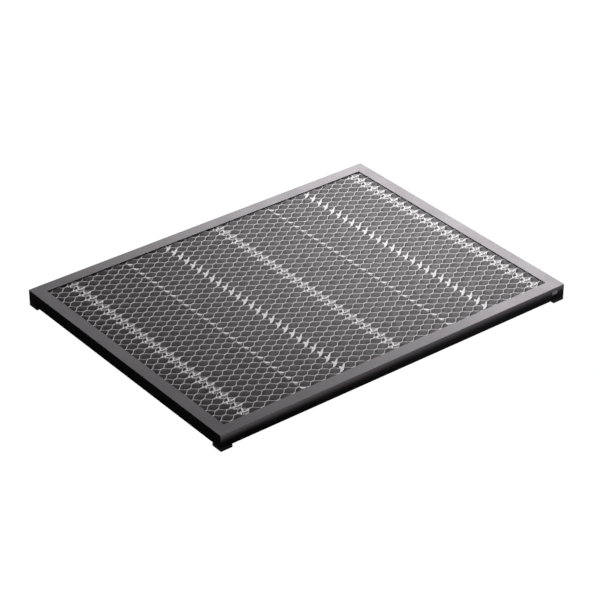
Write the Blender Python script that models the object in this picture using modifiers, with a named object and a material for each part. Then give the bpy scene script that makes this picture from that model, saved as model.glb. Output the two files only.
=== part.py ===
# Work-table panel: four mitred channel rails, screwed to corner keys, hold a
# honeycomb core of bonded aluminium foil. Metres, +Z up. The origin is the
# centre of the footprint, on the surface that the four feet stand on.
import math

import bmesh
import bpy
from mathutils import Vector

# Panel, over the outer faces of the rails
PANEL_LENGTH = 0.400
PANEL_WIDTH = 0.300
CORNER_RADIUS = 0.0020

# Rail section
RAIL_HEIGHT = 0.0133
RAIL_WALL = 0.0010
TOP_EDGE_RADIUS = 0.0003
LOWER_EDGE_RADIUS = 0.0004
FLANGE_COVER = 0.0050
LIP_SEAT = 0.0020

# Fit between separate pieces
CLEARANCE = 0.0003

# Screws and the keys that they hold
SCREW_RADIUS = 0.0015
SCREW_HEAD_RADIUS = 0.00285
SCREW_HEAD_HEIGHT = 0.00165
SCREW_HEAD_RIM = 0.0005
SOCKET_FLATS = 0.0020
SOCKET_DEPTH = 0.0010
SCREW_FOOT_GAP = 0.0067
SCREW_END_DISTANCE = 0.0080
KEY_SCREW_WALL = 0.00115
KEY_ROOF = 0.0025
KEY_EDGE_RADIUS = 0.0003

# Feet
FOOT_HEIGHT = 0.0035
FOOT_EDGE_RADIUS = 0.0003

# Core. Each modelled cell stands for two by two cells of the real foil, and
# the walls along a seam are thick because the foil is doubled and lapped there.
CELL_FLAT = 0.0079
CELL_SLANT_RUN = 0.0090
CELL_ROW_PITCH = 0.02036
CELL_WALL = 0.0008
SEAM_WALL = 0.0022
CORE_RIM = 0.0008
SMALLEST_OPENING = 4e-6
FIRST_SEAM = 0.0307
LONG_SEAM_STEP = 0.0592
SHORT_SEAM_STEP = 0.0507

# Blank inlay in the front rail
INLAY_LENGTH = 0.0064
INLAY_HEIGHT = 0.0038
INLAY_END_DISTANCE = 0.0116
INLAY_DROP = 0.0050
POCKET_FLOOR = 0.0004

# Worked out from the sizes above
SCREW_HOLE_RADIUS = SCREW_RADIUS + CLEARANCE
KEY_WIDTH = 2 * (SCREW_HOLE_RADIUS + KEY_SCREW_WALL)
KEY_INSET = RAIL_WALL + CLEARANCE
CORE_INSET = KEY_INSET + KEY_WIDTH + CLEARANCE
FLANGE_WIDTH = CORE_INSET + FLANGE_COVER
LIP_WIDTH = CORE_INSET + LIP_SEAT
RAIL_BOTTOM = FOOT_HEIGHT
CHANNEL_FLOOR = RAIL_BOTTOM + RAIL_WALL + CLEARANCE
CHANNEL_ROOF = RAIL_BOTTOM + RAIL_HEIGHT - RAIL_WALL - CLEARANCE
SCREW_PLACE = FLANGE_WIDTH + SCREW_HEAD_RADIUS + SCREW_FOOT_GAP
KEY_REACH = SCREW_PLACE + SCREW_END_DISTANCE

# Fineness of the meshes
ARC_STEPS = 4
SCREW_SIDES = 16
HOLE_SIDES = 20
WELD_DISTANCE = 1e-6

CORNERS = {"front_left": (-1, -1), "front_right": (1, -1), "back_right": (1, 1), "back_left": (-1, 1)}


def clear_scene():
    for old in list(bpy.data.objects):
        bpy.data.objects.remove(old, do_unlink=True)


def new_collection(name):
    collection = bpy.data.collections.new(name)
    bpy.context.scene.collection.children.link(collection)
    return collection


def make_material(name, colour, roughness, metallic):
    material = bpy.data.materials.new(name)
    material.use_nodes = True
    shader = material.node_tree.nodes["Principled BSDF"]
    shader.inputs["Base Color"].default_value = (*colour, 1.0)
    shader.inputs["Roughness"].default_value = roughness
    shader.inputs["Metallic"].default_value = metallic
    return material


def add_object(name, mesh, collection, material=None):
    piece = bpy.data.objects.new(name, mesh)
    collection.objects.link(piece)
    if material is not None:
        mesh.materials.append(material)
    return piece


def box(name, centre, size, collection):
    bpy.ops.mesh.primitive_cube_add(size=1, location=centre)
    piece = bpy.context.object
    piece.name = name
    piece.scale = size
    move_to(piece, collection)
    return piece


def move_to(piece, collection):
    for old in list(piece.users_collection):
        old.objects.unlink(piece)
    collection.objects.link(piece)


def hide_cutter(cutter):
    cutter.hide_render = True
    cutter.display_type = "WIRE"


def cut(piece, cutter):
    boolean = piece.modifiers.new("cut_" + cutter.name, "BOOLEAN")
    boolean.operation = "DIFFERENCE"
    boolean.solver = "EXACT"
    boolean.object = cutter


def arc_corner(before, corner, after, radius):
    # Points of an arc that rounds one corner of an outline
    corner = Vector(corner)
    to_before = (Vector(before) - corner).normalized()
    to_after = (Vector(after) - corner).normalized()
    half_angle = to_before.angle(to_after) / 2
    tangent = radius / math.tan(half_angle)
    centre = corner + (to_before + to_after).normalized() * radius / math.sin(half_angle)
    start = corner + to_before * tangent - centre
    end = corner + to_after * tangent - centre
    sweep = start.angle_signed(end)
    points = []
    for step in range(ARC_STEPS + 1):
        turn = -sweep * step / ARC_STEPS
        turned = Vector((start.x * math.cos(turn) - start.y * math.sin(turn),
                         start.x * math.sin(turn) + start.y * math.cos(turn)))
        points.append(tuple(centre + turned))
    return points


def rounded_outline(corners):
    # corners: (x, y, radius), where a radius of 0 leaves the corner sharp
    outline = []
    for index, (x, y, radius) in enumerate(corners):
        if radius <= 0:
            outline.append((x, y))
            continue
        before = corners[index - 1][:2]
        after = corners[(index + 1) % len(corners)][:2]
        outline.extend(arc_corner(before, (x, y), after, radius))
    return outline


def flat_plate(name, outline, low, high, collection, material):
    # A filled 2D curve from low to high, as a closed mesh
    curve = bpy.data.curves.new(name, "CURVE")
    curve.dimensions = "2D"
    curve.fill_mode = "BOTH"
    curve.extrude = (high - low) / 2
    spline = curve.splines.new("POLY")
    spline.points.add(len(outline) - 1)
    for point, (x, y) in zip(spline.points, outline):
        point.co = (x, y, 0, 1)
    spline.use_cyclic_u = True
    outline_object = bpy.data.objects.new(name + "_outline", curve)
    bpy.context.scene.collection.objects.link(outline_object)
    evaluated = outline_object.evaluated_get(bpy.context.evaluated_depsgraph_get())
    mesh = bpy.data.meshes.new_from_object(evaluated)
    bpy.data.objects.remove(outline_object, do_unlink=True)
    body = bmesh.new()
    body.from_mesh(mesh)
    bmesh.ops.remove_doubles(body, verts=body.verts, dist=WELD_DISTANCE)
    bmesh.ops.translate(body, verts=body.verts, vec=(0, 0, (low + high) / 2))
    body.to_mesh(mesh)
    body.free()
    mesh.materials.clear()
    return add_object(name, mesh, collection, material)


def rail_section():
    # Channel outline as (inward from the outer face, height), open towards the core
    top = RAIL_BOTTOM + RAIL_HEIGHT
    corners = [
        (0, top, TOP_EDGE_RADIUS),
        (0, RAIL_BOTTOM, LOWER_EDGE_RADIUS),
        (LIP_WIDTH, RAIL_BOTTOM, TOP_EDGE_RADIUS),
        (LIP_WIDTH, RAIL_BOTTOM + RAIL_WALL, 0),
        (RAIL_WALL, RAIL_BOTTOM + RAIL_WALL, 0),
        (RAIL_WALL, top - RAIL_WALL, 0),
        (FLANGE_WIDTH, top - RAIL_WALL, 0),
        (FLANGE_WIDTH, top, TOP_EDGE_RADIUS),
    ]
    return rounded_outline(corners)


def rail_mesh(name, length):
    # The section lofted along +X with its outer face at y = 0. Each end follows the
    # rounded corner of the panel up to the mitre, so its sections are all different.
    section = rail_section()
    mitre_relief = CLEARANCE / math.sqrt(2)
    quarter = math.radians(45)
    stations = []
    for step in range(ARC_STEPS + 1):
        stations.append((-1, quarter * (1 - step / ARC_STEPS)))
    for step in range(ARC_STEPS + 1):
        stations.append((1, quarter * step / ARC_STEPS))
    body = bmesh.new()
    rings = []
    for side, angle in stations:
        ring = []
        for inward, height in section:
            turn_radius = max(CORNER_RADIUS - inward, 0)
            centre = max(CORNER_RADIUS, inward)
            along = length / 2 - centre + turn_radius * math.sin(angle) - mitre_relief
            depth = centre - turn_radius * math.cos(angle)
            ring.append(body.verts.new((side * along, depth, height)))
        rings.append(ring)
    count = len(section)
    for ring, following in zip(rings, rings[1:]):
        for index in range(count):
            after = (index + 1) % count
            body.faces.new((ring[index], ring[after], following[after], following[index]))
    body.faces.new(rings[0])
    body.faces.new(rings[-1])
    bmesh.ops.remove_doubles(body, verts=body.verts, dist=WELD_DISTANCE)
    bmesh.ops.dissolve_degenerate(body, edges=body.edges, dist=WELD_DISTANCE)
    bmesh.ops.recalc_face_normals(body, faces=body.faces)
    mesh = bpy.data.meshes.new(name)
    body.to_mesh(mesh)
    body.free()
    return mesh


def screw_places():
    # Screw centres by name: one in each leg of each key
    along_x = PANEL_LENGTH / 2 - SCREW_PLACE
    along_y = PANEL_WIDTH / 2 - SCREW_PLACE
    inset_x = PANEL_LENGTH / 2 - KEY_INSET - KEY_WIDTH / 2
    inset_y = PANEL_WIDTH / 2 - KEY_INSET - KEY_WIDTH / 2
    places = {}
    for corner, (side_x, side_y) in CORNERS.items():
        places[corner + "_long"] = (side_x * along_x, side_y * inset_y)
        places[corner + "_short"] = (side_x * inset_x, side_y * along_y)
    return places


def screw_hole(name, place, low, high, cutters):
    bpy.ops.mesh.primitive_cylinder_add(
        vertices=HOLE_SIDES, radius=SCREW_HOLE_RADIUS, depth=high - low, location=(*place, (low + high) / 2))
    hole = bpy.context.object
    hole.name = name
    move_to(hole, cutters)
    hide_cutter(hole)
    return hole


def build_rails(parts, cutters, material):
    half_length = PANEL_LENGTH / 2
    half_width = PANEL_WIDTH / 2
    layout = {
        "rail_front": (PANEL_LENGTH, (0, -half_width), 0),
        "rail_right": (PANEL_WIDTH, (half_length, 0), 90),
        "rail_back": (PANEL_LENGTH, (0, half_width), 180),
        "rail_left": (PANEL_WIDTH, (-half_length, 0), 270),
    }
    rails = {}
    for name, (length, place, turn) in layout.items():
        rail = add_object(name, rail_mesh(name, length), parts, material)
        rail.location = (*place, 0)
        rail.rotation_euler = (0, 0, math.radians(turn))
        rails[name] = rail
    below = RAIL_BOTTOM - RAIL_WALL
    above = RAIL_BOTTOM + 2 * RAIL_WALL
    for name, (x, y) in screw_places().items():
        hole = screw_hole("lip_hole_" + name, (x, y), below, above, cutters)
        if name.endswith("_long"):
            cut(rails["rail_front" if y < 0 else "rail_back"], hole)
        else:
            cut(rails["rail_left" if x < 0 else "rail_right"], hole)
    return rails


def key_outline(side_x, side_y):
    # L outline of one key, mirrored into its corner of the panel
    outer_radius = max(CORNER_RADIUS - KEY_INSET, KEY_EDGE_RADIUS)
    inner = KEY_INSET + KEY_WIDTH
    corners = [
        (KEY_INSET, KEY_INSET, outer_radius),
        (KEY_REACH, KEY_INSET, KEY_EDGE_RADIUS),
        (KEY_REACH, inner, KEY_EDGE_RADIUS),
        (inner, inner, 0),
        (inner, KEY_REACH, KEY_EDGE_RADIUS),
        (KEY_INSET, KEY_REACH, KEY_EDGE_RADIUS),
    ]
    outline = []
    for x, y in rounded_outline(corners):
        outline.append((side_x * (PANEL_LENGTH / 2 - x), side_y * (PANEL_WIDTH / 2 - y)))
    return outline


def build_keys(parts, cutters, material):
    places = screw_places()
    hole_top = CHANNEL_ROOF - KEY_ROOF
    for corner, (side_x, side_y) in CORNERS.items():
        outline = key_outline(side_x, side_y)
        key = flat_plate("corner_key_" + corner, outline, CHANNEL_FLOOR, CHANNEL_ROOF, parts, material)
        for leg in ("_long", "_short"):
            name = "key_hole_" + corner + leg
            cut(key, screw_hole(name, places[corner + leg], RAIL_BOTTOM, hole_top, cutters))


def screw_mesh():
    # Button head below, shank upwards: a turned profile with a hexagon socket
    under_head = RAIL_BOTTOM - CLEARANCE
    tip = CHANNEL_ROOF - KEY_ROOF - CLEARANCE
    head_bottom = under_head - SCREW_HEAD_HEIGHT
    rim_bottom = under_head - SCREW_HEAD_RIM
    chamfer = SCREW_RADIUS / 3
    profile = [(0, tip), (SCREW_RADIUS - chamfer, tip), (SCREW_RADIUS, tip - chamfer)]
    profile.append((SCREW_RADIUS, under_head))
    profile.append((SCREW_HEAD_RADIUS, under_head))
    dome_steps = 3
    dome_turn = math.radians(60)
    for step in range(dome_steps + 1):
        angle = dome_turn * step / dome_steps
        drop = (rim_bottom - head_bottom) * math.sin(angle) / math.sin(dome_turn)
        profile.append((SCREW_HEAD_RADIUS * math.cos(angle), rim_bottom - drop))
    profile.append((0, head_bottom))
    outline = bpy.data.meshes.new("screw_profile")
    edges = [(index, index + 1) for index in range(len(profile) - 1)]
    outline.from_pydata([(radius, 0, height) for radius, height in profile], edges, [])
    blank = bpy.data.objects.new("screw_blank", outline)
    bpy.context.scene.collection.objects.link(blank)
    turned = blank.modifiers.new("turned", "SCREW")
    turned.steps = SCREW_SIDES
    turned.render_steps = SCREW_SIDES
    turned.use_merge_vertices = True
    turned.merge_threshold = WELD_DISTANCE
    bpy.ops.mesh.primitive_cylinder_add(
        vertices=6, radius=SOCKET_FLATS / 2 / math.cos(math.radians(30)), depth=2 * SOCKET_DEPTH,
        location=(0, 0, head_bottom))
    socket = bpy.context.object
    cut(blank, socket)
    evaluated = blank.evaluated_get(bpy.context.evaluated_depsgraph_get())
    mesh = bpy.data.meshes.new_from_object(evaluated)
    for helper in (blank, socket):
        bpy.data.objects.remove(helper, do_unlink=True)
    mesh.shade_smooth()
    mesh.set_sharp_from_angle(angle=math.radians(35))
    return mesh


def build_screws(parts, material):
    mesh = screw_mesh()
    mesh.materials.clear()
    mesh.materials.append(material)
    for name, place in screw_places().items():
        screw = add_object("key_screw_" + name, mesh, parts)
        screw.location = (*place, 0)


def build_feet(parts, material):
    for corner, (side_x, side_y) in CORNERS.items():
        corners = [
            (0, 0, CORNER_RADIUS),
            (FLANGE_WIDTH, 0, FOOT_EDGE_RADIUS),
            (FLANGE_WIDTH, FLANGE_WIDTH, FOOT_EDGE_RADIUS),
            (0, FLANGE_WIDTH, FOOT_EDGE_RADIUS),
        ]
        outline = []
        for x, y in rounded_outline(corners):
            outline.append((side_x * (PANEL_LENGTH / 2 - x), side_y * (PANEL_WIDTH / 2 - y)))
        foot = flat_plate("corner_foot_" + corner, outline, 0, FOOT_HEIGHT - CLEARANCE, parts, material)
        edges = foot.modifiers.new("rounded_edges", "BEVEL")
        edges.width = FOOT_EDGE_RADIUS
        edges.segments = 2
        edges.limit_method = "ANGLE"
        edges.angle_limit = math.radians(60)


def clip_outline(outline, axis, limit, side):
    # The part of a convex outline where side * (coordinate - limit) is not negative
    kept = []
    for index, point in enumerate(outline):
        before = outline[index - 1]
        here = side * (point[axis] - limit)
        there = side * (before[axis] - limit)
        if here * there < 0:
            share = there / (there - here)
            kept.append(tuple(a + (b - a) * share for a, b in zip(before, point)))
        if here >= 0:
            kept.append(point)
    return kept


def outline_area(outline):
    total = 0
    for index, (x, y) in enumerate(outline):
        before_x, before_y = outline[index - 1]
        total += before_x * y - x * before_y
    return abs(total) / 2


def cell_outline(centre_x, centre_y, left_wall, right_wall):
    # Inside of one cell: flats along X, and slanted walls whose thickness may differ
    half_row = CELL_ROW_PITCH / 2
    slant_length = math.hypot(CELL_SLANT_RUN, half_row)
    top = half_row - CELL_WALL / 2
    shape = []
    for side, wall in ((1, right_wall), (-1, left_wall)):
        tip = CELL_FLAT / 2 + CELL_SLANT_RUN - wall / 2 * slant_length / half_row
        shoulder = tip - top * CELL_SLANT_RUN / half_row
        shape += [(side * shoulder, -side * top), (side * tip, 0), (side * shoulder, side * top)]
    return [(centre_x + x, centre_y + y) for x, y in shape]


def seam_lines(low, high):
    # Places along X where the foil is doubled, in a repeating pattern of three steps
    steps = [LONG_SEAM_STEP, SHORT_SEAM_STEP, LONG_SEAM_STEP]
    seams = []
    place = low + FIRST_SEAM
    while place < high:
        seams.append(place)
        place += steps[(len(seams) - 1) % len(steps)]
    return seams


def core_openings(half_length, half_width):
    # The cells of the whole lattice, cut back to the rim
    column_pitch = CELL_FLAT + CELL_SLANT_RUN
    seams = seam_lines(-half_length, half_length)

    seam_share = 0.6    # of a column pitch, from a seam to the middle of a slanted wall

    def slant_wall(place):
        nearest = min((abs(place - seam) for seam in seams), default=column_pitch)
        return SEAM_WALL if nearest < seam_share * column_pitch else CELL_WALL

    edges = ((0, CORE_RIM - half_length, 1), (0, half_length - CORE_RIM, -1),
             (1, CORE_RIM - half_width, 1), (1, half_width - CORE_RIM, -1))
    columns = math.ceil(half_length / column_pitch) + 1
    rows = math.ceil(half_width / CELL_ROW_PITCH) + 1
    openings = []
    for column in range(-columns, columns + 1):
        centre_x = column * column_pitch
        left_wall = slant_wall(centre_x - column_pitch / 2)
        right_wall = slant_wall(centre_x + column_pitch / 2)
        shift = CELL_ROW_PITCH / 2 * (column % 2)
        for row in range(-rows, rows + 1):
            cell = cell_outline(centre_x, row * CELL_ROW_PITCH + shift, left_wall, right_wall)
            for axis, limit, side in edges:
                cell = clip_outline(cell, axis, limit, side)
            if len(cell) > 2 and outline_area(cell) > SMALLEST_OPENING:
                openings.append(cell)
    return openings


def cell_cutter(openings, cutters):
    # One prism for each opening, taller than the core, in one mesh
    depth = CHANNEL_ROOF - CHANNEL_FLOOR + 2 * RAIL_WALL
    body = bmesh.new()
    for outline in openings:
        corners = [body.verts.new((x, y, CHANNEL_FLOOR - RAIL_WALL)) for x, y in outline]
        body.faces.new(corners)
    lifted = bmesh.ops.extrude_face_region(body, geom=body.faces[:])
    top = [item for item in lifted["geom"] if isinstance(item, bmesh.types.BMVert)]
    bmesh.ops.translate(body, verts=top, vec=(0, 0, depth))
    bmesh.ops.recalc_face_normals(body, faces=body.faces)
    mesh = bpy.data.meshes.new("cells")
    body.to_mesh(mesh)
    body.free()
    cells = add_object("cells", mesh, cutters)
    hide_cutter(cells)
    return cells


def build_core(parts, cutters, material):
    half_length = PANEL_LENGTH / 2 - CORE_INSET
    half_width = PANEL_WIDTH / 2 - CORE_INSET
    depth = CHANNEL_ROOF - CHANNEL_FLOOR
    core = box("honeycomb_core", (0, 0, (CHANNEL_ROOF + CHANNEL_FLOOR) / 2),
               (2 * half_length, 2 * half_width, depth), parts)
    core.data.materials.append(material)
    cut(core, cell_cutter(core_openings(half_length, half_width), cutters))


def build_inlay(parts, cutters, front_rail, material):
    face = -PANEL_WIDTH / 2
    centre_x = PANEL_LENGTH / 2 - INLAY_END_DISTANCE
    centre_z = RAIL_BOTTOM + RAIL_HEIGHT - INLAY_DROP
    pocket_depth = RAIL_WALL - POCKET_FLOOR
    thickness = pocket_depth - CLEARANCE
    pocket = box("inlay_pocket", (centre_x, face, centre_z),
                 (INLAY_LENGTH + 2 * CLEARANCE, 2 * pocket_depth, INLAY_HEIGHT + 2 * CLEARANCE), cutters)
    hide_cutter(pocket)
    cut(front_rail, pocket)
    inlay = box("side_inlay", (centre_x, face + thickness / 2, centre_z),
                (INLAY_LENGTH, thickness, INLAY_HEIGHT), parts)
    inlay.data.materials.append(material)


def build_panel():
    clear_scene()
    parts = new_collection("honeycomb_panel")
    cutters = new_collection("cutters")
    black_paint = make_material("black_paint", (0.018, 0.018, 0.019), 0.38, 0.0)
    bare_aluminium = make_material("bare_aluminium", (0.66, 0.66, 0.67), 0.32, 1.0)
    foil = make_material("foil", (0.72, 0.72, 0.73), 0.28, 1.0)
    black_rubber = make_material("black_rubber", (0.012, 0.012, 0.013), 0.60, 0.0)
    zinc_steel = make_material("zinc_steel", (0.58, 0.58, 0.60), 0.35, 1.0)
    grey_inlay = make_material("grey_inlay", (0.30, 0.30, 0.31), 0.45, 0.0)
    rails = build_rails(parts, cutters, black_paint)
    build_inlay(parts, cutters, rails["rail_front"], grey_inlay)
    build_keys(parts, cutters, bare_aluminium)
    build_screws(parts, zinc_steel)
    build_feet(parts, black_rubber)
    build_core(parts, cutters, foil)


build_panel()
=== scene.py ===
import math
import random

import bmesh
import bpy
from mathutils import Euler, Matrix, Vector


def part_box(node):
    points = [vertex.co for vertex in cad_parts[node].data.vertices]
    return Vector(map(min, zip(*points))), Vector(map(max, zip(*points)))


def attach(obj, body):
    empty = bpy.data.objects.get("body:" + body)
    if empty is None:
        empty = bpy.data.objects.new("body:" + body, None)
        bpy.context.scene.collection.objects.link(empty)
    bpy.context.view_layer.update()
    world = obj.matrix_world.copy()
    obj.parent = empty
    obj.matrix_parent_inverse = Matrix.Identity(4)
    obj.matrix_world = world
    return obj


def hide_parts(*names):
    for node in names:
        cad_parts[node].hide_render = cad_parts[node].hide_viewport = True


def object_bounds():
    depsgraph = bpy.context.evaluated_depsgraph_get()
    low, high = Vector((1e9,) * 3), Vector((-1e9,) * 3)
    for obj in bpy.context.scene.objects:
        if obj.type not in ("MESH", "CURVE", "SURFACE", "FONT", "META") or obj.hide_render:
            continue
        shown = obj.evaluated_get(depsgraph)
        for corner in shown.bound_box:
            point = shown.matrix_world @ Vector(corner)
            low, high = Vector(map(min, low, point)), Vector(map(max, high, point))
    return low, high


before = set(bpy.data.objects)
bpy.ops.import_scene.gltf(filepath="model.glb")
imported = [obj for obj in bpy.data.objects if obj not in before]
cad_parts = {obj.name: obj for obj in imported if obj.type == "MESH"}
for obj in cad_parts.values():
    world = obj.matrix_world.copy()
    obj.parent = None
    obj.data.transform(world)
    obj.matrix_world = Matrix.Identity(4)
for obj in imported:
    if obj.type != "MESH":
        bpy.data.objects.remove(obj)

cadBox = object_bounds()
print("frame loaded:", len(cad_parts), "nodes")

millimetre = 0.001
panelLow, panelHigh = cadBox
coreLow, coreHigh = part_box("honeycomb_core")
noiseLow, noiseHigh = 0.3, 0.7    # noise seldom leaves this range, so ramps span it


# small helpers for node materials

def newMaterial(name):
    material = bpy.data.materials.new(name)
    material.use_nodes = True
    tree = material.node_tree
    return material, tree.nodes, tree.links, tree.nodes["Principled BSDF"]


def addNoise(nodes, links, scale, detail=4.0):
    # noise in object space, so that it stays put when the panel moves
    position = nodes.new("ShaderNodeTexCoord")
    noise = nodes.new("ShaderNodeTexNoise")
    noise.inputs["Scale"].default_value = scale
    noise.inputs["Detail"].default_value = detail
    links.new(position.outputs["Object"], noise.inputs["Vector"])
    return noise


def rampColour(nodes, links, source, low, high):
    ramp = nodes.new("ShaderNodeValToRGB")
    ramp.color_ramp.elements[0].position = noiseLow
    ramp.color_ramp.elements[0].color = (*low, 1)
    ramp.color_ramp.elements[1].position = noiseHigh
    ramp.color_ramp.elements[1].color = (*high, 1)
    links.new(source.outputs["Fac"], ramp.inputs["Fac"])
    return ramp


def mapRange(nodes, links, source, low, high):
    mapped = nodes.new("ShaderNodeMapRange")
    mapped.inputs["From Min"].default_value = noiseLow
    mapped.inputs["From Max"].default_value = noiseHigh
    mapped.inputs["To Min"].default_value = low
    mapped.inputs["To Max"].default_value = high
    links.new(source.outputs["Fac"], mapped.inputs["Value"])
    return mapped


def addMath(nodes, links, operation, first, second):
    # one Math node, whose inputs are sockets or numbers
    result = nodes.new("ShaderNodeMath")
    result.operation = operation
    for socket, value in zip(result.inputs, (first, second)):
        if isinstance(value, (int, float)):
            socket.default_value = value
        else:
            links.new(value, socket)
    return result.outputs["Value"]


def addBump(nodes, links, shader, source, strength, distance):
    bump = nodes.new("ShaderNodeBump")
    bump.inputs["Strength"].default_value = strength
    bump.inputs["Distance"].default_value = distance
    links.new(source.outputs["Fac"], bump.inputs["Height"])
    links.new(bump.outputs["Normal"], shader.inputs["Normal"])


# finishes

def makeRailPaint():
    # the top face is scuffed by use, and the sides keep their smoother paint
    paint = {
        "dark": (0.005, 0.005, 0.0055),
        "light": (0.008, 0.0078, 0.0085),
        "refraction": 1.8,
        "sheen": (1.0, 0.895, 0.97, 1),
        "sideRough": 0.15,
        "topRough": 0.31,
        "scuff": 0.06,         # roughness that scuffing adds in patches
        "sideNormal": 0.3,     # upward part of the normal, up to which a face is a side
        "topNormal": 0.9,      # and from which it is a top
        "cloud": 38.0,
        "grain": 2600.0,
        "bump": 0.12,
        "depth": 0.02 * millimetre,
    }
    material, nodes, links, shader = newMaterial("satinBlackPaint")
    shader.inputs["IOR"].default_value = paint["refraction"]
    shader.inputs["Specular Tint"].default_value = paint["sheen"]
    cloud = addNoise(nodes, links, paint["cloud"])
    colour = rampColour(nodes, links, cloud, paint["dark"], paint["light"])
    links.new(colour.outputs["Color"], shader.inputs["Base Color"])
    surface = nodes.new("ShaderNodeNewGeometry")
    facing = nodes.new("ShaderNodeSeparateXYZ")
    links.new(surface.outputs["True Normal"], facing.inputs["Vector"])
    upward = nodes.new("ShaderNodeMapRange")
    upward.inputs["From Min"].default_value = paint["sideNormal"]
    upward.inputs["From Max"].default_value = paint["topNormal"]
    upward.inputs["To Min"].default_value = paint["sideRough"]
    upward.inputs["To Max"].default_value = paint["topRough"]
    links.new(facing.outputs["Z"], upward.inputs["Value"])
    scuff = mapRange(nodes, links, cloud, 0.0, paint["scuff"])
    gloss = addMath(nodes, links, "ADD", upward.outputs["Result"], scuff.outputs["Result"])
    links.new(gloss, shader.inputs["Roughness"])
    grain = addNoise(nodes, links, paint["grain"], detail=2.0)
    addBump(nodes, links, shader, grain, paint["bump"], paint["depth"])
    return material


def makeFoil():
    foil = {
        "dull": (0.385, 0.375, 0.38),
        "bright": (0.485, 0.472, 0.48),
        "metallic": 0.55,
        "smooth": 0.48,
        "rough": 0.60,
        "patch": 160.0,
        "wrinkle": 900.0,
        "bump": 0.25,
        "depth": 0.04 * millimetre,
    }
    material, nodes, links, shader = newMaterial("bareFoil")
    shader.inputs["Metallic"].default_value = foil["metallic"]
    patch = addNoise(nodes, links, foil["patch"])
    colour = rampColour(nodes, links, patch, foil["dull"], foil["bright"])
    links.new(colour.outputs["Color"], shader.inputs["Base Color"])
    gloss = mapRange(nodes, links, patch, foil["smooth"], foil["rough"])
    links.new(gloss.outputs["Result"], shader.inputs["Roughness"])
    wrinkle = addNoise(nodes, links, foil["wrinkle"], detail=3.0)
    addBump(nodes, links, shader, wrinkle, foil["bump"], foil["depth"])
    return material


def makeEdgeHighlight(name, dull, bright):
    # foil edges rubbed bright by the saw, or along a fold, and painted lighter still: a painted
    # highlight for the light that these edges catch
    edge = {"metallic": 0.6, "smooth": 0.68, "rough": 0.80, "grain": 1400.0}
    material, nodes, links, shader = newMaterial(name)
    shader.inputs["Metallic"].default_value = edge["metallic"]
    grain = addNoise(nodes, links, edge["grain"])
    colour = rampColour(nodes, links, grain, dull, bright)
    links.new(colour.outputs["Color"], shader.inputs["Base Color"])
    gloss = mapRange(nodes, links, grain, edge["smooth"], edge["rough"])
    links.new(gloss.outputs["Result"], shader.inputs["Roughness"])
    return material


def makeFootRubber():
    rubber = {"dark": (0.010, 0.010, 0.011), "light": (0.018, 0.018, 0.019), "rough": 0.62,
              "grain": 1800.0, "bump": 0.3, "depth": 0.05 * millimetre}
    material, nodes, links, shader = newMaterial("footRubber")
    shader.inputs["Roughness"].default_value = rubber["rough"]
    grain = addNoise(nodes, links, rubber["grain"])
    colour = rampColour(nodes, links, grain, rubber["dark"], rubber["light"])
    links.new(colour.outputs["Color"], shader.inputs["Base Color"])
    addBump(nodes, links, shader, grain, rubber["bump"], rubber["depth"])
    return material


def makeScrewZinc():
    zinc = {"dull": (0.42, 0.42, 0.44), "bright": (0.60, 0.60, 0.61),
            "smooth": 0.28, "rough": 0.42, "scratch": 700.0}
    material, nodes, links, shader = newMaterial("screwZinc")
    shader.inputs["Metallic"].default_value = 1.0
    scratch = addNoise(nodes, links, zinc["scratch"])
    colour = rampColour(nodes, links, scratch, zinc["dull"], zinc["bright"])
    links.new(colour.outputs["Color"], shader.inputs["Base Color"])
    gloss = mapRange(nodes, links, scratch, zinc["smooth"], zinc["rough"])
    links.new(gloss.outputs["Result"], shader.inputs["Roughness"])
    return material


def makeKeyCasting():
    casting = {"dull": (0.46, 0.46, 0.47), "bright": (0.58, 0.58, 0.59), "rough": 0.55,
               "grain": 1200.0, "bump": 0.4, "depth": 0.05 * millimetre}
    material, nodes, links, shader = newMaterial("keyCasting")
    shader.inputs["Metallic"].default_value = 1.0
    shader.inputs["Roughness"].default_value = casting["rough"]
    grain = addNoise(nodes, links, casting["grain"])
    colour = rampColour(nodes, links, grain, casting["dull"], casting["bright"])
    links.new(colour.outputs["Color"], shader.inputs["Base Color"])
    addBump(nodes, links, shader, grain, casting["bump"], casting["depth"])
    return material


def makeInlayGrey():
    inlay = {"dark": (0.185, 0.178, 0.19), "light": (0.285, 0.273, 0.29),
             "rough": 0.45, "grain": 1300.0}
    material, nodes, links, shader = newMaterial("inlayGrey")
    shader.inputs["Roughness"].default_value = inlay["rough"]
    grain = addNoise(nodes, links, inlay["grain"])
    colour = rampColour(nodes, links, grain, inlay["dark"], inlay["light"])
    links.new(colour.outputs["Color"], shader.inputs["Base Color"])
    return material


railPaint = makeRailPaint()
foilFinish = makeFoil()
# painted highlights: lighter copies of the foil for the sawn and folded edges, standing in for the
# light they catch, over their real rubbed brightness
sawnEdgeHighlight = makeEdgeHighlight("sawnFoilEdgeHighlight", (0.76, 0.74, 0.75), (0.86, 0.84, 0.85))
foldedEdgeHighlight = makeEdgeHighlight("foldedFoilEdgeHighlight", (0.71, 0.69, 0.70), (0.81, 0.79, 0.80))
footRubber = makeFootRubber()
screwZinc = makeScrewZinc()
keyCasting = makeKeyCasting()
inlayGrey = makeInlayGrey()
print("finishes made")


def makeMesh(body, name):
    bmesh.ops.recalc_face_normals(body, faces=body.faces)
    mesh = bpy.data.meshes.new(name)
    body.to_mesh(mesh)
    body.free()
    return mesh


def addPiece(name, mesh, finishes, slotName, *nodesReplaced):
    indices = [face.material_index for face in mesh.polygons]
    mesh.materials.clear()
    for finish in finishes:
        mesh.materials.append(finish)
    mesh.polygons.foreach_set("material_index", indices)
    piece = bpy.data.objects.new(name, mesh)
    bpy.context.scene.collection.objects.link(piece)
    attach(piece, "root")
    if nodesReplaced:
        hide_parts(*nodesReplaced)


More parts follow.
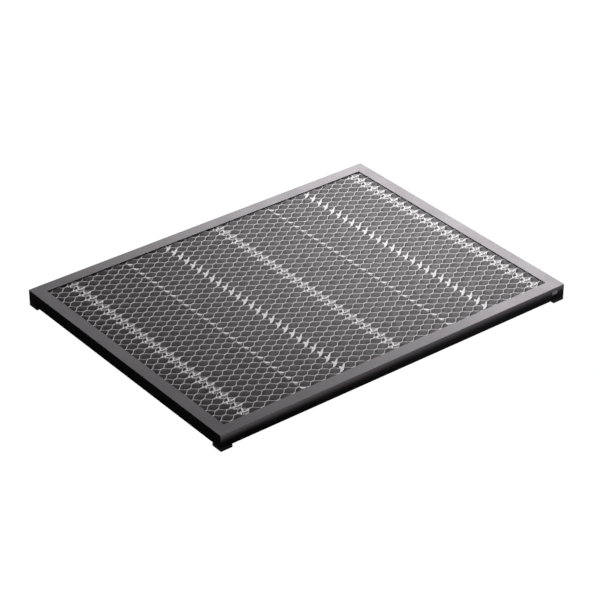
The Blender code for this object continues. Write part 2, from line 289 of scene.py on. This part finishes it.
def dressNodes(prefix, material):
    for name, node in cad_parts.items():
        if name.startswith(prefix):
            node.data.materials.clear()
            node.data.materials.append(material)


# rails: the CAD channel section with finer edges and closed mitres
railShape = {
    "topRadius": 0.15 * millimetre,
    "lowerRadius": 0.4 * millimetre,
    "cornerRadius": 0.5 * millimetre,    # corner of the panel in plan
    "wall": 1.0 * millimetre,
    "coreSeat": 2.0 * millimetre,        # how far the lower lip reaches under the core
    "mitreGap": 0.005 * millimetre,
    "weld": 0.001 * millimetre,
    "sectionSteps": 6,
    "cornerSteps": 8,
    "holeRadius": 1.8 * millimetre,
    "holeDepth": 4.5 * millimetre,
    "holeLift": 0.5 * millimetre,        # middle of a hole above the lip's underside
    "holeSides": 28,
    "pocketGap": 0.3 * millimetre,       # room around the inlay
}
railFrontLow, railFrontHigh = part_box("rail_front")
inlayLow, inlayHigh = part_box("side_inlay")


def roundCorner(before, corner, after, radius, steps):
    # arc of a circle that rounds one square corner of a section
    towardsBefore = (before - corner).normalized()
    towardsAfter = (after - corner).normalized()
    centre = corner + (towardsBefore + towardsAfter) * radius
    points = []
    for step in range(steps + 1):
        angle = math.pi / 2 * step / steps
        across = towardsAfter * radius * math.cos(angle)
        along = towardsBefore * radius * math.sin(angle)
        points.append(centre - across - along)
    return points


def railSection():
    bottom, top = railFrontLow.z, railFrontHigh.z
    wall = railShape["wall"]
    flange = railFrontHigh.y - railFrontLow.y
    lip = coreLow.y - railFrontLow.y + railShape["coreSeat"]
    corners = [
        ((0, top), railShape["topRadius"]),
        ((0, bottom), railShape["lowerRadius"]),
        ((lip, bottom), railShape["topRadius"]),
        ((lip, bottom + wall), 0),
        ((wall, bottom + wall), 0),
        ((wall, top - wall), 0),
        ((flange, top - wall), 0),
        ((flange, top), railShape["topRadius"]),
    ]
    section = []
    for index, (corner, radius) in enumerate(corners):
        corner = Vector(corner)
        if not radius:
            section.append(corner)
            continue
        before = Vector(corners[index - 1][0])
        after = Vector(corners[(index + 1) % len(corners)][0])
        section.extend(roundCorner(before, corner, after, radius, railShape["sectionSteps"]))
    return section


def railMesh(name, halfLength):
    # the section swept along one side of the panel, and round half of each corner
    mitre = math.radians(45)
    steps = railShape["cornerSteps"]
    stations = [(-1, mitre * (1 - step / steps)) for step in range(steps + 1)]
    stations += [(1, mitre * step / steps) for step in range(steps + 1)]
    body = bmesh.new()
    rings = []
    for side, angle in stations:
        ring = []
        for inward, height in railSection():
            turnRadius = max(railShape["cornerRadius"] - inward, 0)
            centre = max(railShape["cornerRadius"], inward)
            along = halfLength - centre + turnRadius * math.sin(angle) - railShape["mitreGap"]
            depth = centre - turnRadius * math.cos(angle)
            ring.append(body.verts.new((side * along, depth, height)))
        rings.append(ring)
    for ring, following in zip(rings, rings[1:]):
        for index in range(len(ring)):
            after = (index + 1) % len(ring)
            body.faces.new((ring[index], ring[after], following[after], following[index]))
    body.faces.new(rings[0])
    body.faces.new(rings[-1])
    bmesh.ops.remove_doubles(body, verts=body.verts, dist=railShape["weld"])
    bmesh.ops.dissolve_degenerate(body, edges=body.edges, dist=railShape["weld"])
    return makeMesh(body, name)


def cutAway(mesh, cutters):
    # the mesh with the cutters' volumes taken out of it, and no helper left behind
    blank = bpy.data.objects.new("blank", mesh)
    bpy.context.scene.collection.objects.link(blank)
    for cutter in cutters:
        boolean = blank.modifiers.new("cut", "BOOLEAN")
        boolean.operation = "DIFFERENCE"
        boolean.solver = "EXACT"
        boolean.object = cutter
    evaluated = blank.evaluated_get(bpy.context.evaluated_depsgraph_get())
    result = bpy.data.meshes.new_from_object(evaluated)
    for helper in [blank, *cutters]:
        bpy.data.objects.remove(helper, do_unlink=True)
    return result


def smoothRounds(mesh):
    # rounded edges shade smoothly, and flat faces and mitred ends stay flat
    flatNormal = 0.9999    # a face whose normal is nearer than this to an axis is flat
    for face in mesh.polygons:
        slanted = max(abs(value) for value in face.normal) < flatNormal
        face.use_smooth = slanted and len(face.vertices) <= 4


def holeCutter(screwName):
    low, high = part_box(screwName)
    middle = (low + high) / 2
    bpy.ops.mesh.primitive_cylinder_add(
        vertices=railShape["holeSides"],
        radius=railShape["holeRadius"],
        depth=railShape["holeDepth"],
        location=(middle.x, middle.y, railFrontLow.z + railShape["holeLift"]),
    )
    return bpy.context.object


def pocketCutter():
    gap = railShape["pocketGap"]
    middle = (inlayLow + inlayHigh) / 2
    width = inlayHigh.x - inlayLow.x + 2 * gap
    depth = inlayHigh.y - inlayLow.y + gap
    height = inlayHigh.z - inlayLow.z + 2 * gap
    bpy.ops.mesh.primitive_cube_add(size=1, location=(middle.x, inlayLow.y, middle.z))
    pocket = bpy.context.object
    pocket.scale = (width, 2 * depth, height)
    return pocket


def makeRails():
    layout = {
        "front": (0, ("front_left_long", "front_right_long")),
        "right": (90, ("front_right_short", "back_right_short")),
        "back": (180, ("back_left_long", "back_right_long")),
        "left": (270, ("back_left_short", "front_left_short")),
    }
    for side, (turn, screws) in layout.items():
        halfLength, reach = panelHigh.x, panelHigh.y
        if side in ("right", "left"):
            halfLength, reach = reach, halfLength
        turned = Matrix.Rotation(math.radians(turn), 4, "Z")
        mesh = railMesh("rail" + side.title(), halfLength)
        mesh.transform(turned @ Matrix.Translation((0, -reach, 0)))
        cutters = [holeCutter("key_screw_" + name) for name in screws]
        if side == "front":
            cutters.append(pocketCutter())
        mesh = cutAway(mesh, cutters)
        smoothRounds(mesh)
        addPiece("rail" + side.title(), mesh, [railPaint], "black_paint", "rail_" + side)


makeRails()
print("rails made")


# feet: the CAD blocks, with corners about as sharp as those of the rails
footShape = {"radius": 0.35 * millimetre, "steps": 3, "roundness": 0.5}


def makeFeet():
    for corner in ("front_left", "front_right", "back_left", "back_right"):
        nodeName = "corner_foot_" + corner
        low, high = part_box(nodeName)
        body = bmesh.new()
        bmesh.ops.create_cube(body, size=1)
        bmesh.ops.scale(body, vec=high - low, verts=body.verts)
        bmesh.ops.translate(body, vec=(low + high) / 2, verts=body.verts)
        bmesh.ops.bevel(body, geom=body.edges[:], affect="EDGES", offset=footShape["radius"],
                        segments=footShape["steps"], profile=footShape["roundness"])
        mesh = makeMesh(body, "cornerFoot")
        smoothRounds(mesh)
        pieceName = "foot" + corner.title().replace("_", "")
        addPiece(pieceName, mesh, [footRubber], "black_rubber", nodeName)


makeFeet()
print("feet made")


# honeycomb foil: corrugated ribbons along X, bonded flat to flat
foilCore = {
    "flat": 3.955 * millimetre,
    "slantRun": 4.510 * millimetre,
    "rowPitch": 10.18 * millimetre,
    "columnStart": -178.25 * millimetre,    # middle of column 0
    "rowStart": -135.65 * millimetre,       # lower flats of the even columns
    "rowSlope": -0.0013,                    # the rows lie slightly askew in the frame
    "thickness": 0.36 * millimetre,         # thicker than real foil, so that it shows
    "bondGap": 0.01 * millimetre,
    "cornerRadius": 1.3 * millimetre,
    "cornerShare": 0.45,                    # the most of a side that one corner takes up
    "cornerSteps": 2,
    "highlightBand": 0.35 * millimetre,          # height of the upper edge that takes the painted highlight finish
    "wander": 0.20 * millimetre,
    "tilt": 0.06,
    "raggedTop": 0.08 * millimetre,
    "leastRibbon": 1.0 * millimetre,        # an end ribbon narrower than this is left out
    "foldDrop": 0.5 * millimetre,           # a fold's depth below the saw line
    "foldRim": 0.1 * millimetre,            # how far its rim lies below its middle
    "foldLevel": 0.9,                       # share of its width that is level
    "foldMargin": 1.0 * millimetre,         # least distance to the ends of the core
    "seed": 41,
}
foilRandom = random.Random(foilCore["seed"])
columnPitch = foilCore["flat"] + foilCore["slantRun"]
levelStep = foilCore["rowPitch"] / 2


def columnX(column):
    return foilCore["columnStart"] + column * columnPitch


def levelY(level, atX):
    return foilCore["rowStart"] + level * levelStep + foilCore["rowSlope"] * atX


firstColumn = math.floor((coreLow.x - foilCore["columnStart"]) / columnPitch) - 1
lastColumn = math.ceil((coreHigh.x - foilCore["columnStart"]) / columnPitch) + 1
firstLevel = math.floor((coreLow.y - foilCore["rowStart"]) / levelStep)
lastLevel = math.ceil((coreHigh.y - foilCore["rowStart"]) / levelStep)

# each bonded flat sits a little off its place, the same for both of its ribbons
flatShift = {}
for column in range(firstColumn, lastColumn + 1):
    for level in range(firstLevel - 1, lastLevel + 2):
        shiftX = foilRandom.uniform(-1, 1) * foilCore["wander"]
        shiftY = foilRandom.uniform(-1, 1) * foilCore["wander"]
        tilt = foilRandom.uniform(-1, 1) * foilCore["tilt"]
        flatShift[column, level] = (shiftX, shiftY, tilt)


def ribbonCorners(level):
    # corner points of one ribbon, which runs between this level and the next
    offset = foilCore["thickness"] / 2 + foilCore["bondGap"]
    corners = []
    for column in range(firstColumn, lastColumn + 1):
        low = (column - level) % 2 == 0
        flatLevel = level if low else level + 1
        shiftX, shiftY, tilt = flatShift[column, flatLevel]
        middleX = columnX(column) + shiftX
        middleY = levelY(flatLevel, middleX) + shiftY + (offset if low else -offset)
        half = foilCore["flat"] / 2
        corners.append(Vector((middleX - half, middleY - half * tilt)))
        corners.append(Vector((middleX + half, middleY + half * tilt)))
    return corners


def roundedPath(corners):
    # the open path through the corners, each of them turned into a short arc
    steps = foilCore["cornerSteps"]
    path = [corners[0]]
    for before, corner, after in zip(corners, corners[1:], corners[2:]):
        toBefore = before - corner
        toAfter = after - corner
        most = min(toBefore.length, toAfter.length) * foilCore["cornerShare"]
        reach = min(foilCore["cornerRadius"], most)
        start = corner + toBefore.normalized() * reach
        end = corner + toAfter.normalized() * reach
        for step in range(steps + 1):
            share = step / steps
            first = start.lerp(corner, share)
            path.append(first.lerp(corner.lerp(end, share), share))
    path.append(corners[-1])
    return path


def clipPath(path, lowX, highX):
    # keeps the stretch of a path between two places along X
    kept = []
    for before, after in zip(path, path[1:]):
        if after.x <= lowX or before.x >= highX:
            continue
        start = before
        end = after
        if before.x < lowX:
            start = before.lerp(after, (lowX - before.x) / (after.x - before.x))
        if after.x > highX:
            end = before.lerp(after, (highX - before.x) / (after.x - before.x))
        if not kept:
            kept.append(start)
        kept.append(end)
    return kept


def stripOutline(top, reach):
    # section of an upright strip, whose top is folded flat where reach isn't 0, to half
    # the width of the fold
    half = foilCore["thickness"] / 2
    band = top - foilCore["highlightBand"]
    foot = [(half, coreLow.z), (-half, coreLow.z), (-half, band)]
    if not reach:
        return foot + [(-half, top), (half, top), (half, band)]
    rim = top - foilCore["foldRim"]
    level = reach * foilCore["foldLevel"]
    return foot + [(-reach, rim), (-level, top), (level, top), (reach, rim), (half, band)]


def addStrip(body, path, tops, reaches=None, highlighted=True):
    # an upright strip of foil along a path in plan, as one closed band, whose upper edge
    # takes the painted highlight finish, over real wear, where the caller asks for it
    rings = []
    for index, point in enumerate(path):
        before = path[max(index - 1, 0)]
        after = path[min(index + 1, len(path) - 1)]
        along = (after - before).normalized()
        side = Vector((-along.y, along.x))
        reach = reaches[index] if reaches else 0
        ring = []
        for offset, height in stripOutline(tops[index], reach):
            place = point + side * offset
            ring.append(body.verts.new((place.x, place.y, height)))
        rings.append(ring)
    for ring, following in zip(rings, rings[1:]):
        for corner in range(len(ring)):
            after = (corner + 1) % len(ring)
            face = body.faces.new((ring[corner], ring[after], following[after], following[corner]))
            upper = 2 <= corner < len(ring) - 1
            # the upper faces take the painted highlight finish
            face.material_index = 1 if highlighted and upper else 0
    body.faces.new(rings[0][::-1])
    body.faces.new(rings[-1])


def raggedTops(path):
    # the sawn upper edge rises and falls a little
    tops = []
    for _ in path:
        tops.append(coreHigh.z - foilRandom.random() * foilCore["raggedTop"])
    return tops


def makeRibbons():
    # the ribbons at both ends are squeezed flat against the ends of the core
    body = bmesh.new()
    limit = coreHigh.y - foilCore["thickness"] / 2
    for level in range(firstLevel, lastLevel):
        path = roundedPath(ribbonCorners(level))
        path = clipPath(path, coreLow.x, coreHigh.x)
        if min(abs(point.y) for point in path) > limit - foilCore["leastRibbon"]:
            continue
        path = [Vector((point.x, min(max(point.y, -limit), limit))) for point in path]
        addStrip(body, path, raggedTops(path))
    return makeMesh(body, "foilRibbons")


ribbons = makeRibbons()
addPiece("foilRibbons", ribbons, [foilFinish, sawnEdgeHighlight], "foil", "honeycomb_core")
print("foil ribbons:", len(ribbons.polygons), "faces")


# seams: columns where foil is lapped and folded over. Each strip is a list of points
# from the middle of its cell, in millimetres, with the width of the folded foil there.
# The edges reach the saw line and carry the painted highlight, and the folds lie a little below
# it.
seams = {
    "lap": {
        "columns": (2, 22, 42),
        "edges": [
            [(-4.4, -3.6, 0.6), (-3.8, -2.4, 1.4), (-3.1, -1.2, 1.8), (-2.2, -0.4, 1.5),
             (-1.2, -0.3, 1.4), (-0.3, 0.1, 1.6), (0.3, 1.2, 1.8), (0.9, 2.6, 1.7),
             (1.5, 4.0, 1.3), (1.9, 5.0, 0.8)],
            [(-1.5, -0.9, 0.7), (0.5, -1.3, 1.3), (2.4, -1.4, 1.6), (4.0, -1.0, 1.9),
             (5.3, -0.4, 2.0), (6.6, 0.0, 1.0)],
            [(-6.9, -0.2, 0.6), (-5.5, 0.2, 1.5), (-4.7, 1.0, 0.9), (-4.2, 1.8, 0.6)],
        ],
        "folds": [
            [(2.2, 4.2, 1.0), (2.5, 2.6, 1.8), (3.0, 1.2, 2.4), (4.2, 0.6, 1.4)],
            [(-3.0, -3.2, 0.6), (-1.5, -2.6, 1.1), (0.5, -2.9, 1.0), (2.6, -2.7, 1.3),
             (3.8, -1.8, 0.8)],
            [(-4.7, 0.3, 1.0), (-3.5, 0.5, 1.8), (-2.3, 0.8, 1.4), (-1.2, 1.1, 1.0)],
        ],
    },
    "flap": {
        "columns": (9, 29),
        "edges": [
            [(1.9, 4.5, 0.9), (2.4, 3.3, 2.2), (2.9, 2.2, 3.0), (4.0, 1.2, 2.6), (5.5, 0.5, 1.2)],
        ],
        "folds": [
            [(1.6, 2.0, 1.0), (2.0, 0.6, 1.8), (3.0, -0.5, 1.8), (4.6, -0.3, 1.2)],
        ],
    },
    "fold": {
        "columns": (15, 35),
        "edges": [
            [(-5.7, 0.7, 0.6), (-4.2, 1.4, 1.6), (-2.8, 2.5, 2.4), (-1.3, 3.9, 3.0),
             (0.2, 5.1, 2.7), (1.8, 6.4, 1.9), (3.6, 8.0, 1.3), (5.4, 9.6, 0.9)],
            [(-0.8, 5.0, 2.6), (-1.1, 6.3, 2.8), (-1.2, 7.5, 2.2), (-1.1, 8.7, 1.1)],
        ],
        "folds": [],
    },
}


def addFold(body, centre, strip, drop, highlighted):
    path = []
    reaches = []
    for right, up, width in strip:
        path.append(centre + Vector((right, up)) * millimetre)
        reaches.append(max(width * millimetre, foilCore["thickness"]) / 2)
    if max(abs(point.y) for point in path) > coreHigh.y - foilCore["foldMargin"]:
        return
    tops = [top - drop for top in raggedTops(path)]
    addStrip(body, path, tops, reaches, highlighted)


def makeSeamFoil():
    body = bmesh.new()
    for seam in seams.values():
        for column in seam["columns"]:
            for level in range(firstLevel, lastLevel):
                if (level - column) % 2:
                    continue
                middleX = columnX(column)
                centre = Vector((middleX, levelY(level, middleX) + levelStep))
                # the edges take the painted highlight finish, and the folds the plain foil
                for strip in seam["edges"]:
                    addFold(body, centre, strip, 0, True)
                for strip in seam["folds"]:
                    addFold(body, centre, strip, foilCore["foldDrop"], False)
    return makeMesh(body, "seamFoil")


seamMesh = makeSeamFoil()
addPiece("seamFoil", seamMesh, [foilFinish, foldedEdgeHighlight], "foil")
print("seam foil:", len(seamMesh.polygons), "faces")


# the keys, the screws and the inlay keep their CAD shapes
dressNodes("corner_key_", keyCasting)
dressNodes("key_screw_", screwZinc)
dressNodes("side_inlay", inlayGrey)
print("nodes dressed")


# camera
view = {
    "place": (-1.15586, -1.47031, 1.16438),
    "azimuth": -38.256,
    "elevation": 31.853,
    "roll": 0.101,
    "lens": 141.11,
    "sensor": 36.0,
}


def makeCamera():
    data = bpy.data.cameras.new("photoCamera")
    data.lens = view["lens"]
    data.sensor_width = view["sensor"]
    camera = bpy.data.objects.new("photoCamera", data)
    camera.location = view["place"]
    look = Euler((math.radians(90 - view["elevation"]), 0, math.radians(view["azimuth"])))
    turned = look.to_matrix() @ Matrix.Rotation(math.radians(view["roll"]), 3, "Z")
    camera.rotation_euler = turned.to_euler()
    bpy.context.scene.collection.objects.link(camera)
    bpy.context.scene.camera = camera


makeCamera()


# studio
studio = {
    "ambient": 0.285,
    "window": {
        "aim": (0.0, 0.0, 0.0),
        "azimuth": 80.3,
        "elevation": 28.2,
        "distance": 0.80,
        "shift": -0.65,
        "width": 1.7,
        "height": 0.255,
        "power": 8.171283,
        "spread": 180.0,
    },
    "lamp": {
        "aim": (0.30, 0.13, 0.0),
        "azimuth": 226.0,
        "elevation": 34.0,
        "distance": 0.9,
        "shift": 0.0,
        "width": 0.35,
        "height": 0.35,
        "power": 0.45,
        "spread": 41.0,
    },
    "floor": {
        "size": 12.0,
        "white": 0.04,
        "lift": 1.0,
        "gleam": 0.90,
        "shade": (("X", 0.012, 0.212), ("Y", -0.03, 0.178)),    # axis, shift and half size
        "shadeEdge": (0.0135, 0.0235),
    },
}


def addLight(name):
    # a rectangle of light that faces its aim, from an azimuth and an elevation in degrees
    lamp = studio[name]
    around = math.radians(lamp["azimuth"])
    upward = math.radians(lamp["elevation"])
    level = math.cos(upward)
    direction = Vector((math.sin(around) * level, math.cos(around) * level, math.sin(upward)))
    sideways = Vector((math.cos(around), -math.sin(around), 0))
    data = bpy.data.lights.new(name, "AREA")
    data.shape = "RECTANGLE"
    data.size = lamp["width"]
    data.size_y = lamp["height"]
    data.energy = lamp["power"]
    data.spread = math.radians(lamp["spread"])
    light = bpy.data.objects.new(name, data)
    light.location = Vector(lamp["aim"]) + direction * lamp["distance"] + sideways * lamp["shift"]
    light.rotation_euler = direction.to_track_quat("Z", "Y").to_euler()
    light.visible_camera = False
    bpy.context.scene.collection.objects.link(light)


def makeWorld():
    world = bpy.data.worlds.new("studioWorld")
    bpy.context.scene.world = world
    world.use_nodes = True
    background = world.node_tree.nodes["Background"]
    background.inputs["Color"].default_value = (1, 1, 1, 1)
    background.inputs["Strength"].default_value = studio["ambient"]


def shadeMask(nodes, links, floor):
    # 0 on the floor in the panel's own shade, and 1 beyond it
    position = nodes.new("ShaderNodeTexCoord")
    parts = nodes.new("ShaderNodeSeparateXYZ")
    links.new(position.outputs["Object"], parts.inputs["Vector"])
    away = []
    for axis, shift, half in floor["shade"]:
        moved = addMath(nodes, links, "ADD", parts.outputs[axis], shift)
        size = addMath(nodes, links, "ABSOLUTE", moved, 0)
        away.append(addMath(nodes, links, "SUBTRACT", size, half))
    distance = addMath(nodes, links, "MAXIMUM", *away)
    mask = nodes.new("ShaderNodeMapRange")
    mask.interpolation_type = "SMOOTHSTEP"
    mask.inputs["From Min"].default_value = floor["shadeEdge"][0]
    mask.inputs["From Max"].default_value = floor["shadeEdge"][1]
    links.new(distance, mask.inputs["Value"])
    return mask.outputs["Result"]


def makeFloor():
    floor = studio["floor"]
    bpy.ops.mesh.primitive_plane_add(size=floor["size"], location=(0, 0, panelLow.z))
    plane = bpy.context.object
    plane.name = "floor"
    material, nodes, links, shader = newMaterial("floorWhite")
    white = floor["white"]
    shader.inputs["Base Color"].default_value = (white, white, white, 1)
    shader.inputs["Roughness"].default_value = 1.0
    shader.inputs["Specular IOR Level"].default_value = 0.0
    shader.inputs["Emission Color"].default_value = (1, 1, 1, 1)
    # the camera sees plain white, and reflections see it only outside the shade
    path = nodes.new("ShaderNodeLightPath")
    bent = addMath(nodes, links, "MAXIMUM", path.outputs["Is Glossy Ray"],
                   path.outputs["Is Transmission Ray"])
    mask = shadeMask(nodes, links, floor)
    gleam = addMath(nodes, links, "MULTIPLY", mask, floor["gleam"])
    reflected = addMath(nodes, links, "MULTIPLY", bent, gleam)
    seen = addMath(nodes, links, "MAXIMUM", path.outputs["Is Camera Ray"], reflected)
    lift = addMath(nodes, links, "MULTIPLY", seen, floor["lift"])
    links.new(lift, shader.inputs["Emission Strength"])
    plane.data.materials.append(material)


# a wide window behind the panel and to its right, and a small lamp at the camera's side
addLight("window")
addLight("lamp")
makeWorld()
makeFloor()
bpy.context.scene.view_settings.view_transform = "Standard"
print("camera, light and floor set")
